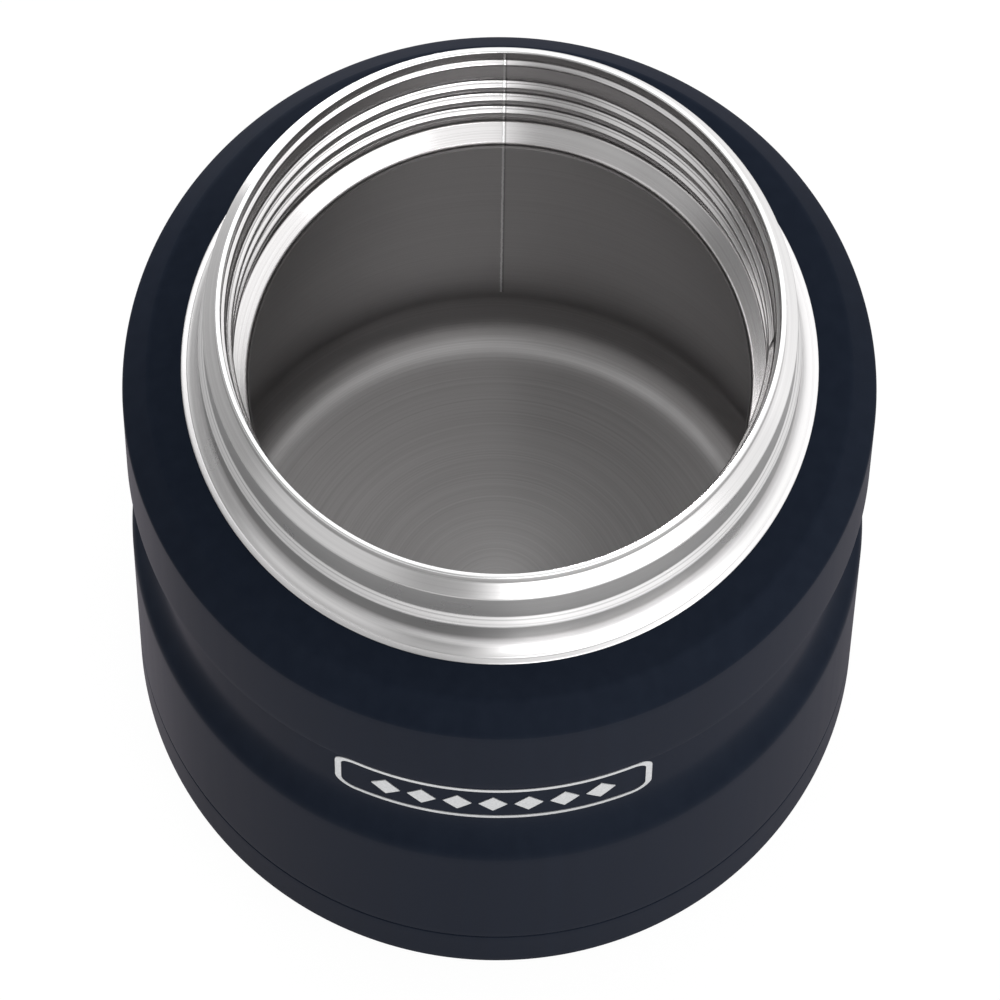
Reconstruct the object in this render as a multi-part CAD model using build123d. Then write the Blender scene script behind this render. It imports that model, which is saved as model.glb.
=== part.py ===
from build123d import *
from math import cos, radians, tan
import os

# Wide-mouth vacuum food jar, open, standing on its base.
# Millimetres. The origin is the middle of the base on the table, +Z is up the axis of the jar,
# and the printed front faces -Y.

# ---- driving dimensions ----

# outside, sheet and steps in from the trunk to the lip
body_diameter = 108.2           # painted trunk and band
shell_skin = 0.5                # sheet of the painted outer shells
waist_depth = 2.9               # how far the waist stands in from the trunk
shoulder_inset = 4.4            # how far the steep part of the shoulder stands in
crown_width = 4.2               # flat part of the shoulder, up to the flange of the neck
flange_reach = 2.6              # how far the flange stands out from the neck above it
bead_step = 0.8                 # from there in to the plain wall of the neck
chamfer_step = 1.8              # from the plain wall in to the lip
neck_skin = 0.4                 # sheet of the neck
weld_height = 0.35              # bead that closes the lip
weld_edge = 0.2                 # how far its two top edges are taken down

# outside, heights from the table upwards
seam_height = 11.7              # top edge of the base cap
seam_gap = 0.25                 # open line between base cap and trunk
trunk_height = 36.1             # seam to the foot of the waist
waist_height = 30.9             # open height of the waist
band_height = 21.6              # plain band above the waist
shoulder_rise = 5.3             # steep part of the shoulder
crown_slope = 20.0              # degrees, flat part of the shoulder under the flange
root_height = 8.4               # shoulder to the bead, up the neck
bead_height = 1.9
neck_height = 6.7               # plain wall of the neck
chamfer_height = 2.2            # slope from the neck in to the lip
lip_height = 1.86

# outside, bends (radius on the inner side of each bend)
shoulder_bend = 1.2
crease_bend = 5.0
band_bend = 0.35
waist_slope = 30.0              # degrees from upright, foot of the waist
waist_bend = 15.5               # hollow curve above that foot
foot_bend = 4.5                 # rounded edge below it
small_bend = 0.25
step_bend = 0.05                # tight joggle at the seam
root_bend = 3.3                 # sweep of the neck out to the flange
crown_lap = 2.0                 # how far the shoulder runs in under the flange
bend_room = 0.98                # most of a run that the bends at its two ends may take
waist_joint_drop = 3.4          # band edge to the joint between the two outer shells
undercut_slope = 30.0           # degrees, underside of the band

# liner, counted down and in from the lip
liner_skin = 0.4
lip_bore_depth = 2.64           # straight bore inside the lip
seat_step = 0.65                # from it in to the wall that the stopper screws into
seat_step_height = 0.4
funnel_step = 2.95              # from that wall in to the throat
funnel_height = 2.2
vacuum_gap = 3.8                # between the chamber wall and the waist
throat_length = 1.6
throat_flare = 45.0             # degrees, from the throat out to the chamber
floor_height = 11.0             # food floor above the table
funnel_bend = 0.8
throat_bend = 0.9
chamber_bend = 6.0
floor_bend = 8.0
wall_lap = 1.5                  # straight wall above the floor's bend, up to the joint

# stopper thread inside the bore: one start, right hand
thread_pitch = 4.65
thread_turns = 2.99
thread_depth = 0.85
thread_root_width = 2.8
thread_crest_width = 1.1
thread_round = 0.35
thread_top_depth = 6.26         # lip to the middle of the upper end
thread_tail = 2.80              # plain bore under the middle of the lower end
thread_top_angle = 0.0          # degrees from +X
thread_bury = 0.15              # how far the ridge runs into the liner sheet

# vacuum closure and what is sealed in the vacuum
pan_height = 5.5                # top of the outer bottom above the table
pan_skin = 0.5
pan_rim_height = 3.0            # lower rim of the outer bottom and of the trunk
pan_bend = 1.0
dimple_diameter = 12.0
dimple_height = 1.3
vent_diameter = 2.0             # hole that the air is drawn out through
plug_diameter = 8.6
plug_height = 0.8
foil = 0.12
foil_clearance = 0.06
foil_hem = 3.0                  # bare wall left above and below the foil sleeve
foil_disc_margin = 2.5          # flat floor left bare round the foil disc
foil_disc_hole = 26.0
getter_diameter = 8.0
getter_height = 1.6
clip_width = 5.0
clip_thickness = 0.3
clip_foot = 3.5
clip_clearance = 0.1

# base cap
cap_skin = 0.6
cap_clearance = 0.1             # cap skirt to the stepped-in end of the trunk
cap_bend = 0.5
foot_width = 10.0               # ring that stands on the table
foot_rise = 1.2                 # middle of the cap above the table
foot_run = 2.5                  # slope between the two
bond_diameter = 58.0            # cured adhesive ring under the outer bottom
bond_width = 6.0

# print on the front of the waist
ink = 0.12
print_width = 46.0
print_height = 12.0
print_drop = 8.6                # band edge down to the top of the print
print_line = 0.9
print_corner = 3.0
lozenge_count = 7
lozenge_width = 4.2
lozenge_height = 5.6
lozenge_pitch = 5.2

# ---- places worked out from them ----

body_radius = body_diameter / 2
waist_radius = body_radius - waist_depth
crease_radius = body_radius - shoulder_inset
flange_radius = crease_radius - crown_width
root_radius = flange_radius - flange_reach
neck_radius = root_radius - bead_step
lip_radius = neck_radius - chamfer_step
lip_bore_radius = lip_radius - neck_skin - liner_skin
bore_radius = lip_bore_radius - seat_step
throat_radius = bore_radius - funnel_step
chamber_radius = waist_radius - shell_skin - vacuum_gap - liner_skin

waist_foot_z = seam_height + seam_gap + trunk_height
band_z = waist_foot_z + waist_height
shoulder_z = band_z + band_height
crease_z = shoulder_z + shoulder_rise
flange_z = crease_z + crown_width * tan(radians(crown_slope))
bead_z = flange_z + root_height
neck_z = bead_z + bead_height
chamfer_z = neck_z + neck_height
lip_z = chamfer_z + chamfer_height
top_z = lip_z + lip_height
sheet_top_z = top_z - weld_height
waist_joint_z = band_z - waist_joint_drop

thread_rise = thread_pitch * thread_turns
funnel_z = top_z - thread_top_depth - thread_rise - thread_tail
throat_z = funnel_z - funnel_height
throat_low_z = throat_z - throat_length
chamber_z = throat_low_z - (chamber_radius - throat_radius) / tan(radians(throat_flare))
wall_joint_z = floor_height + floor_bend + wall_lap

spigot_radius = body_radius - cap_skin - cap_clearance
pan_radius = spigot_radius - shell_skin


def left_of(corners, wall):
    """Corners of the line that runs `wall` to the left of a line of corners, or right if negative."""
    points = [Vector(r, z) for r, z, _ in corners]
    ways = [(after - before).normalized() for before, after in zip(points, points[1:])]
    sides = [Vector(-way.Y, way.X) for way in ways]
    sides = [sides[0]] + sides + [sides[-1]]
    return [
        point + (before + after) * (wall / (1 + before.dot(after)))
        for point, before, after in zip(points, sides, sides[1:])
    ]


def bend_radii(corners, wall):
    """Bend radii of a line of corners and of the line beside it; each corner names its inner radius."""
    points = [Vector(r, z) for r, z, _ in corners]
    near, far = [], []
    for before, here, after, corner in zip(points, points[1:], points[2:], corners[1:-1]):
        turn = (here - before).cross(after - here).Z
        inner = corner[2]
        if turn * wall > 0:
            near.append(inner + abs(wall))
            far.append(inner)
        else:
            near.append(inner)
            far.append(inner + abs(wall))
    return near, far


def fitted(points, radii):
    """Bend radii, made smaller where the two bends of a run would take up more than that run."""
    runs = [after - before for before, after in zip(points, points[1:])]
    turns = [radians(before.get_angle(after)) for before, after in zip(runs, runs[1:])]
    reaches = [0, *(radius * tan(turn / 2) for radius, turn in zip(radii, turns)), 0]
    shares = [
        min(1, bend_room * run.length / (before + after))
        for run, before, after in zip(runs, reaches, reaches[1:])
    ]
    return [radius * min(before, after) for radius, before, after in zip(radii, shares, shares[1:])]


def sheet(corners, wall):
    """Sheet metal turned about the axis: corners are (radius, height, inner bend radius)."""
    near, far = bend_radii(corners, wall)
    line = [Vector(r, z) for r, z, _ in corners]
    beside = left_of(corners, wall)
    radii = [0, *fitted(line, near), 0, 0, *fitted(beside, far)[::-1], 0]
    outline = FilletPolyline(line + beside[::-1], radius=radii, close=True)
    return revolve(Plane.XZ * make_face(outline), axis=Axis.Z)


def disc(radius, low, high):
    """Plain disc between two heights."""
    return Pos(0, 0, low) * Cylinder(radius, high - low, align=(Align.CENTER, Align.CENTER, Align.MIN))


def tube(outer_radius, inner_radius, low, high):
    """Plain ring between two heights."""
    return disc(outer_radius, low, high) - disc(inner_radius, low, high)


# ---- outer vessel ----


def make_shoulder_shell():
    """Painted crown, shoulder and band, turned in under the band to meet the waist."""
    start_radius = flange_radius - crown_lap
    slope = tan(radians(crown_slope))
    undercut = waist_depth * tan(radians(undercut_slope))
    corners = [
        (start_radius, crease_z + (crease_radius - start_radius) * slope, 0),
        (crease_radius, crease_z, crease_bend),
        (body_radius, shoulder_z, shoulder_bend),
        (body_radius, band_z, band_bend),
        (waist_radius, band_z - undercut, small_bend),
        (waist_radius, waist_joint_z, 0),
    ]
    return sheet(corners, -shell_skin)


def make_body_shell():
    """Painted waist and trunk, stepped in at the seam to go inside the base cap."""
    step_z = seam_height + seam_gap
    foot_run_up = waist_depth / tan(radians(waist_slope))
    corners = [
        (waist_radius, waist_joint_z, 0),
        (waist_radius, waist_foot_z + foot_run_up, waist_bend),
        (body_radius, waist_foot_z, foot_bend),
        (body_radius, step_z, step_bend),
        (spigot_radius, step_z, step_bend),
        (spigot_radius, pan_rim_height, 0),
    ]
    return sheet(corners, -shell_skin)


def make_neck_collar():
    """Bare steel neck: flange on the crown, bead, plain wall, chamfer and the outside of the lip."""
    slope = tan(radians(crown_slope))
    edge_z = flange_z + neck_skin / cos(radians(crown_slope))
    corners = [
        (flange_radius, edge_z, 0),
        (root_radius, edge_z + (flange_radius - root_radius) * slope, root_bend),
        (root_radius, bead_z, small_bend),
        (neck_radius, neck_z, small_bend),
        (neck_radius, chamfer_z, small_bend),
        (lip_radius, lip_z, small_bend),
        (lip_radius, sheet_top_z, 0),
    ]
    return sheet(corners, neck_skin)


def make_mouth_weld():
    """Crowned bead that closes the two sheets of the lip."""
    width = lip_radius - lip_bore_radius
    bead = Rectangle(width, weld_height, align=(Align.MIN, Align.MIN))
    bead = chamfer(bead.vertices().group_by(Axis.Y)[-1], length=weld_edge)
    return revolve(Plane.XZ * Pos(lip_bore_radius, sheet_top_z) * bead, axis=Axis.Z)


def make_outer_bottom():
    """Pan that closes the outer vessel, with a dimple and a hole for drawing out the air."""
    slope_run = pan_skin + small_bend
    corners = [
        (vent_diameter / 2, pan_height + dimple_height, 0),
        (dimple_diameter / 2 - slope_run, pan_height + dimple_height, small_bend),
        (dimple_diameter / 2 + slope_run, pan_height, small_bend),
        (pan_radius, pan_height, pan_bend),
        (pan_radius, pan_rim_height, 0),
    ]
    return sheet(corners, -pan_skin)


def make_evacuation_plug():
    """Sealing glass that fills the vent and stands in the dimple under it."""
    dimple_ceiling = pan_height + dimple_height - pan_skin
    head = disc(plug_diameter / 2, dimple_ceiling - plug_height, dimple_ceiling)
    stem = disc(vent_diameter / 2, dimple_ceiling - plug_height, dimple_ceiling + pan_skin)
    return head + stem


# ---- inner vessel ----


def make_thread_ridge():
    """Helical ridge that stands in from the bore."""
    low_z = top_z - thread_top_depth - thread_rise
    low_angle = thread_top_angle - 360 * thread_turns
    half_root = thread_root_width / 2
    half_crest = thread_crest_width / 2
    profile = Polygon(
        (thread_bury, -half_root), (thread_bury, half_root),
        (0, half_root), (-thread_depth, half_crest),
        (-thread_depth, -half_crest), (0, -half_root), align=None,
    )
    crest = profile.vertices().group_by(Axis.X)[0]
    profile = fillet(crest, radius=thread_round)
    path = Helix(thread_pitch, thread_rise, bore_radius)
    ridge = sweep(
        Plane(origin=path @ 0, x_dir=(1, 0, 0), z_dir=(0, -1, 0)) * profile,
        path=path, is_frenet=True,
    )
    return Pos(0, 0, low_z) * Rot(0, 0, low_angle) * ridge


def make_inner_vessel():
    """Food liner from the lip to the floor joint, with its thread."""
    corners = [
        (lip_bore_radius, sheet_top_z, 0),
        (lip_bore_radius, top_z - lip_bore_depth, small_bend),
        (bore_radius, top_z - lip_bore_depth - seat_step_height, small_bend),
        (bore_radius, funnel_z, funnel_bend),
        (throat_radius, throat_z, throat_bend),
        (throat_radius, throat_low_z, throat_bend),
        (chamber_radius, chamber_z, chamber_bend),
        (chamber_radius, wall_joint_z, 0),
    ]
    return sheet(corners, liner_skin) + make_thread_ridge()


def make_inner_bottom():
    """Rounded floor of the food chamber."""
    corners = [
        (0, floor_height, 0),
        (chamber_radius, floor_height, floor_bend),
        (chamber_radius, wall_joint_z, 0),
    ]
    return sheet(corners, -liner_skin)


# ---- sealed in the vacuum ----


def make_shield_sleeve():
    """Foil wound round the chamber wall."""
    inner_radius = chamber_radius + liner_skin + foil_clearance
    return tube(inner_radius + foil, inner_radius, wall_joint_z + foil_hem, chamber_z - foil_hem)


def make_shield_disc():
    """Foil ring under the food floor, open round the getter."""
    high = floor_height - liner_skin - foil_clearance
    radius = chamber_radius - floor_bend - foil_disc_margin
    return tube(radius, foil_disc_hole / 2, high - foil, high)


def make_getter_pill():
    """Pill that takes up the last gas, held against the underside of the food floor."""
    high = floor_height - liner_skin
    return disc(getter_diameter / 2, high - getter_height, high)


def make_getter_clip():
    """Strap round the getter with a welded foot on each side."""
    high = floor_height - liner_skin
    low = high - getter_height - clip_thickness
    inner_half = getter_diameter / 2 + clip_clearance
    outer_half = inner_half + clip_thickness
    foot_half = outer_half + clip_foot
    strap = Polygon(
        (-foot_half, high), (-foot_half, high - clip_thickness), (-outer_half, high - clip_thickness),
        (-outer_half, low), (outer_half, low), (outer_half, high - clip_thickness),
        (foot_half, high - clip_thickness), (foot_half, high), (inner_half, high),
        (inner_half, low + clip_thickness), (-inner_half, low + clip_thickness), (-inner_half, high),
        align=None,
    )
    return extrude(Plane.XZ * strap, amount=clip_width / 2, both=True)


# ---- base ----


def make_base_cap():
    """Painted cap pressed over the lower end of the trunk."""
    foot_inner = body_radius - foot_width
    corners = [
        (0, foot_rise, 0),
        (foot_inner - foot_run, foot_rise, small_bend),
        (foot_inner, 0, small_bend),
        (body_radius, 0, cap_bend),
        (body_radius, seam_height, 0),
    ]
    return sheet(corners, cap_skin)


def make_base_bond_ring():
    """Cured adhesive between the base cap and the outer bottom."""
    radius = bond_diameter / 2
    return tube(radius, radius - bond_width, foot_rise + cap_skin, pan_height - pan_skin)


# ---- print ----


def make_front_print():
    """Silver ink on the waist: a rounded frame round a row of lozenges."""
    frame = RectangleRounded(print_width, print_height, print_corner)
    frame -= RectangleRounded(
        print_width - 2 * print_line, print_height - 2 * print_line, print_corner - print_line
    )
    lozenge = Polygon(
        (lozenge_width / 2, 0), (0, lozenge_height / 2), (-lozenge_width / 2, 0), (0, -lozenge_height / 2)
    )
    marks = [frame]
    for number in range(lozenge_count):
        marks.append(Pos((number - (lozenge_count - 1) / 2) * lozenge_pitch, 0) * lozenge)
    middle_z = band_z - print_drop - print_height / 2
    skin = tube(waist_radius + ink, waist_radius, middle_z - print_height, middle_z + print_height)
    solids = []
    for mark in marks:
        block = extrude(Plane.XZ * Pos(0, middle_z) * mark, amount=body_radius)
        solids += (block & skin).solids()
    return Compound(children=solids)


parts = {
    "shoulder_shell": make_shoulder_shell,
    "body_shell": make_body_shell,
    "neck_collar": make_neck_collar,
    "mouth_weld": make_mouth_weld,
    "inner_vessel": make_inner_vessel,
    "inner_bottom": make_inner_bottom,
    "outer_bottom": make_outer_bottom,
    "evacuation_plug": make_evacuation_plug,
    "shield_sleeve": make_shield_sleeve,
    "shield_disc": make_shield_disc,
    "getter_pill": make_getter_pill,
    "getter_clip": make_getter_clip,
    "base_cap": make_base_cap,
    "base_bond_ring": make_base_bond_ring,
    "front_print": make_front_print,
}

os.makedirs("parts", exist_ok=True)
for name, make in parts.items():
    export_step(make(), f"parts/{name}.step")
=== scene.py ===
from math import cos, pi, radians, sin, tan

import bpy
import numpy as np
from mathutils import Matrix, Vector


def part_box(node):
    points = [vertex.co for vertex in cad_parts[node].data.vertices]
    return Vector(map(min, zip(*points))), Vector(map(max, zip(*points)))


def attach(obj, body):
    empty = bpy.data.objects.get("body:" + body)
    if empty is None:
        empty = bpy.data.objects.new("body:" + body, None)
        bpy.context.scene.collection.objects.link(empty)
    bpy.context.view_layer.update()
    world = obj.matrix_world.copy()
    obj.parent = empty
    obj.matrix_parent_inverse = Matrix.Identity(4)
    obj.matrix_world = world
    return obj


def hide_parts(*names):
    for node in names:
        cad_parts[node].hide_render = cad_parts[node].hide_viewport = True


# The dressed food jar: the outer shells, neck, weld, liner and food floor are turned again here as fine
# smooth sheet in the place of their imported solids, and every piece gets its finish. Metres, +Z up the axis
# of the jar, the print faces -Y.

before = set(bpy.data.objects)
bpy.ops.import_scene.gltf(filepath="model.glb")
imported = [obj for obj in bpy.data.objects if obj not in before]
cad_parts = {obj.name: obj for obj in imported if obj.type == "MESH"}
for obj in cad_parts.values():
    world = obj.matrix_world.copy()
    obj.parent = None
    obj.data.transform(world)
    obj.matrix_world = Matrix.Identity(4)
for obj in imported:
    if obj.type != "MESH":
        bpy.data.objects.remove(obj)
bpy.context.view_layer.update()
mm = 0.001
print("frame loaded,", len(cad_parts), "nodes")


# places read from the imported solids

def topOf(node):
    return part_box(node)[1].z


def bottomOf(node):
    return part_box(node)[0].z


def radiusOf(node):
    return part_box(node)[1].x


bodyRadius = radiusOf("base_cap")
flangeRadius = radiusOf("neck_collar")
lipRadius = radiusOf("mouth_weld")
chamberOuterRadius = radiusOf("inner_vessel")
jarTop = topOf("mouth_weld")
weldFoot = bottomOf("mouth_weld")
neckFoot = bottomOf("neck_collar")
linerFoot = bottomOf("inner_vessel")
seamZ = topOf("base_cap")
shellJointZ = bottomOf("shoulder_shell")


# turning of sheet from an outline

def roundedLine(corners, arcStep=radians(6)):
    # a line of (radius, height, bend radius) corners: each corner inside the line becomes an arc that
    # touches both runs, centred on the bisector at bend / cos(half the turn)
    points = [np.array(corners[0][:2])]
    for before, here, after in zip(corners, corners[1:], corners[2:]):
        a, b, c = (np.array(p[:2]) for p in (before, here, after))
        wayIn = (b - a) / np.linalg.norm(b - a)
        wayOut = (c - b) / np.linalg.norm(c - b)
        cross = wayIn[0] * wayOut[1] - wayIn[1] * wayOut[0]
        turn = np.arctan2(cross, wayIn @ wayOut)
        bend = here[2]
        if bend <= 0 or abs(turn) < 1e-6:
            points.append(b)
            continue
        start = b - wayIn * bend * tan(abs(turn) / 2)
        side = np.array([-wayIn[1], wayIn[0]]) * np.sign(turn)
        centre = start + side * bend
        count = max(2, int(abs(turn) / arcStep) + 1)
        angles = np.linspace(0, turn, count + 1)
        spoke = start - centre
        points += [
            centre + np.array([spoke[0] * cos(t) - spoke[1] * sin(t), spoke[0] * sin(t) + spoke[1] * cos(t)])
            for t in angles
        ]
    points.append(np.array(corners[-1][:2]))
    return np.array(points)


def divided(line, longest):
    # extra points on the long runs of a line, so that no step is longer than `longest`
    out = [line[:1]]
    for a, b in zip(line, line[1:]):
        count = max(1, int(np.ceil(np.linalg.norm(b - a) / longest)))
        steps = np.arange(1, count + 1)[:, None] / count
        out.append(a + (b - a) * steps)
    return np.concatenate(out)


def besideLine(line, wall):
    # every point moved by `wall` to the left along the mean normal of its two runs
    runs = np.diff(line, axis=0)
    ways = runs / np.linalg.norm(runs, axis=1)[:, None]
    sides = np.stack([-ways[:, 1], ways[:, 0]], axis=1)
    before = np.vstack([sides[:1], sides])
    after = np.vstack([sides, sides[-1:]])
    spread = 1 + np.sum(before * after, axis=1)
    return line + (before + after) * (wall / spread)[:, None]


def sheetOutline(corners, wall, longest):
    # sheet metal: a rounded line and the same line `wall` beside it, joined into one closed outline
    line = divided(roundedLine(corners), longest)
    return np.vstack([line, besideLine(line, wall)[::-1]])


def halfRound(start, end, count=6):
    # points of the half circle from start to end, on the right of that way, without its ends
    middle = (start + end) / 2
    spoke = start - middle
    angles = np.linspace(0, pi, count + 1)[1:-1]
    across = np.array([-spoke[1], spoke[0]])
    return middle + np.cos(angles)[:, None] * spoke + np.sin(angles)[:, None] * across


def ringAngles(columns):
    # even steps round the axis, from +X
    return np.arange(columns) * (2 * pi / columns)


def ringPoints(radius, height, angles):
    # every outline point carried round the axis: x = r cos a, y = r sin a, z = height
    return np.stack([radius * np.cos(angles), radius * np.sin(angles), height], axis=-1).reshape(-1, 3)


def gridFaces(rows, columns, closedRows):
    # quads of a grid that closes on itself round the axis, and along the outline if closedRows
    i = np.arange(rows if closedRows else rows - 1)[:, None]
    j = np.arange(columns)[None, :]
    nextRow = (i + 1) % rows
    nextColumn = (j + 1) % columns
    quads = np.stack([
        i * columns + j, nextRow * columns + j,
        nextRow * columns + nextColumn, i * columns + nextColumn,
    ], axis=-1)
    return quads.reshape(-1, 4)


def signedVolume(points, quads):
    # six times the volume under the quads, by the tetrahedra from the origin
    a, b, c, d = (points[quads[:, k]] for k in range(4))
    return np.sum(np.cross(a, b) * c) + np.sum(np.cross(a, c) * d)


def meshPiece(name, points, quads, fans=()):
    # a closed surface turned outwards, as one smooth mesh
    if signedVolume(points, quads) < 0:
        quads = quads[:, ::-1]
        fans = [fan[:, ::-1] for fan in fans]
    faces = quads.tolist() + [face for fan in fans for face in fan.tolist()]
    mesh = bpy.data.meshes.new(name)
    mesh.from_pydata(points.tolist(), [], faces)
    mesh.validate()
    mesh.shade_smooth()
    piece = bpy.data.objects.new(name, mesh)
    bpy.context.scene.collection.objects.link(piece)
    return piece


def turned(name, outline, columns, closed=True):
    # the outline (radius, height) turned round the axis. An open outline starts and ends on the axis,
    # where a fan of triangles closes the pole.
    ring = outline if closed else outline[1:-1]
    points = ringPoints(ring[:, :1], np.repeat(ring[:, 1:], columns, axis=1), ringAngles(columns))
    quads = gridFaces(len(ring), columns, closed)
    if closed:
        return meshPiece(name, points, quads)
    here = np.arange(columns)
    there = (here + 1) % columns
    last = (len(ring) - 1) * columns
    first = len(points)
    fans = [
        np.stack([np.full(columns, first), here, there], axis=1),
        np.stack([np.full(columns, first + 1), last + there, last + here], axis=1),
    ]
    poles = np.array([[0, 0, outline[0][1]], [0, 0, outline[-1][1]]])
    return meshPiece(name, np.vstack([points, poles]), quads, fans)


def creased(piece, degrees):
    # edges sharper than this many degrees stay sharp in the shading
    piece.data.set_sharp_from_angle(angle=radians(degrees))
    return piece


def dress(piece, material, slot, *nodes):
    # a finished piece: its finish, the body that it rides on and the solids that it stands for
    piece.data.materials.clear()
    piece.data.materials.append(material)
    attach(piece, "root")
    if nodes:
        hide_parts(*nodes)
    return piece


# short ways to write shader nodes

def setInput(links, socket, value):
    # a number goes on the socket, another node's output is linked to it
    if isinstance(value, (int, float)):
        socket.default_value = value
    else:
        links.new(value, socket)


def mathNode(nodes, links, operation, *values):
    node = nodes.new("ShaderNodeMath")
    node.operation = operation
    for socket, value in zip(node.inputs, values):
        setInput(links, socket, value)
    return node.outputs[0]


def rangeNode(nodes, links, value, low, high, start=0.0, end=1.0, kind="SMOOTHSTEP"):
    # goes from `start` to `end` as the value goes from low to high, and stays level outside them
    node = nodes.new("ShaderNodeMapRange")
    node.interpolation_type = kind
    for label, number in (("From Min", low), ("From Max", high), ("To Min", start), ("To Max", end)):
        node.inputs[label].default_value = number
    links.new(value, node.inputs["Value"])
    return node.outputs["Result"]


def noiseNode(nodes, links, vector, scale, detail, rough=0.5):
    node = nodes.new("ShaderNodeTexNoise")
    setInput(links, node.inputs["Scale"], scale)
    node.inputs["Detail"].default_value = detail
    node.inputs["Roughness"].default_value = rough
    links.new(vector, node.inputs["Vector"])
    return node.outputs["Fac"]


def objectPlace(nodes):
    return nodes.new("ShaderNodeTexCoord").outputs["Object"]


def partsOf(nodes, links, vector):
    node = nodes.new("ShaderNodeSeparateXYZ")
    links.new(vector, node.inputs[0])
    return [node.outputs[k] for k in "XYZ"]


def joined(nodes, links, **parts):
    node = nodes.new("ShaderNodeCombineXYZ")
    for label, value in parts.items():
        links.new(value, node.inputs[label])
    return node.outputs[0]


def ramp(nodes, links, factor, stops):
    # a colour ramp with (place, colour) stops
    node = nodes.new("ShaderNodeValToRGB")
    elements = node.color_ramp.elements
    while len(elements) < len(stops):
        elements.new(0.5)
    for element, (place, color) in zip(elements, stops):
        element.position = place
        element.color = (*color, 1)
    links.new(factor, node.inputs["Fac"])
    return node.outputs["Color"]


def twoTone(nodes, links, noise, dark, light):
    # from dark to light over the middle of a noise, where nearly all of it lies
    return ramp(nodes, links, noise, [(0.3, dark), (0.7, light)])


def heightTone(nodes, links, z, stops):
    # painted shade by height: a level, straight between its (height, level) stops, that darkens a colour
    low, high = stops[0][0], stops[-1][0]
    share = rangeNode(nodes, links, z, low, high, kind="LINEAR")
    places = [((height - low) / (high - low), (level, level, level)) for height, level in stops]
    return ramp(nodes, links, share, places)


def scaled(nodes, links, color, level):
    # a colour times a level
    node = nodes.new("ShaderNodeVectorMath")
    node.operation = "SCALE"
    links.new(color, node.inputs[0])
    links.new(level, node.inputs["Scale"])
    return node.outputs[0]


def bump(nodes, links, height, distance, strength, normal=None):
    node = nodes.new("ShaderNodeBump")
    node.inputs["Distance"].default_value = distance
    node.inputs["Strength"].default_value = strength
    links.new(height, node.inputs["Height"])
    if normal is not None:
        links.new(normal, node.inputs["Normal"])
    return node.outputs["Normal"]


def nodeGroup(name, inputs, outputs):
    # an empty shader node group with these named number inputs (value) and number outputs
    group = bpy.data.node_groups.new(name, "ShaderNodeTree")
    for label, value in inputs.items():
        socket = group.interface.new_socket(label, in_out="INPUT", socket_type="NodeSocketFloat")
        socket.default_value = value
    for label in outputs:
        group.interface.new_socket(label, in_out="OUTPUT", socket_type="NodeSocketFloat")
    return group, group.nodes.new("NodeGroupInput"), group.nodes.new("NodeGroupOutput")


def groupNode(nodes, group, **values):
    node = nodes.new("ShaderNodeGroup")
    node.node_tree = group
    for label, value in values.items():
        node.inputs[label.replace("_", " ")].default_value = value
    return node


def newMaterial(name):
    material = bpy.data.materials.new(name)
    material.use_nodes = True
    nodes, links = material.node_tree.nodes, material.node_tree.links
    return material, nodes, links, nodes["Principled BSDF"]


def spreadRound(nodes, links, shader, spread):
    # highlights drawn out as by marks that run round the axis: the tangent points round it, and the
    # quarter turn lays the marks along it
    shader.inputs["Anisotropic"].default_value = spread
    shader.inputs["Anisotropic Rotation"].default_value = 0.25
    tangent = nodes.new("ShaderNodeTangent")
    tangent.direction_type = "RADIAL"
    tangent.axis = "Z"
    links.new(tangent.outputs["Tangent"], shader.inputs["Tangent"])


turningMarks = {
    "linesPerMetre": 9000.0,        # up the wall
    "radiusShare": 0.8,             # how much of that they have along the radius
    "along": 16.0,                  # how fast they change round the axis, a metre
    "lineDetail": 3.0,
    "lineRough": 0.65,
    "patches": 90.0,                # a metre
    "patchDetail": 2.0,
}


def turningLinesGroup():
    # fine lines left round the axis by turning and brushing: a noise that runs fast up the wall and along
    # the radius, and slowly round the axis
    v = turningMarks
    group, given, result = nodeGroup(
        "turningLines", {"Lines per metre": v["linesPerMetre"], "Along": v["along"]}, ("Lines", "Patches"))
    nodes, links = group.nodes, group.links
    place = objectPlace(nodes)
    x, y, z = partsOf(nodes, links, place)
    length = nodes.new("ShaderNodeVectorMath")
    length.operation = "LENGTH"
    links.new(joined(nodes, links, X=x, Y=y), length.inputs[0])
    up = mathNode(nodes, links, "MULTIPLY_ADD", length.outputs["Value"], v["radiusShare"], z)
    fast = mathNode(nodes, links, "MULTIPLY", up, given.outputs["Lines per metre"])
    slowX = mathNode(nodes, links, "MULTIPLY", x, given.outputs["Along"])
    slowY = mathNode(nodes, links, "MULTIPLY", y, given.outputs["Along"])
    stretched = joined(nodes, links, X=slowX, Y=slowY, Z=fast)
    lines = noiseNode(nodes, links, stretched, 1.0, v["lineDetail"], v["lineRough"])
    patches = noiseNode(nodes, links, place, v["patches"], v["patchDetail"])
    links.new(lines, result.inputs["Lines"])
    links.new(patches, result.inputs["Patches"])
    return group


coatMarks = {
    "grain": 2600.0,                # a metre
    "streaks": 420.0,
    "streakLength": (1, 1, 0.02),   # the streaks are drawn out up the wall
    "detail": 3.0,
}


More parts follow.
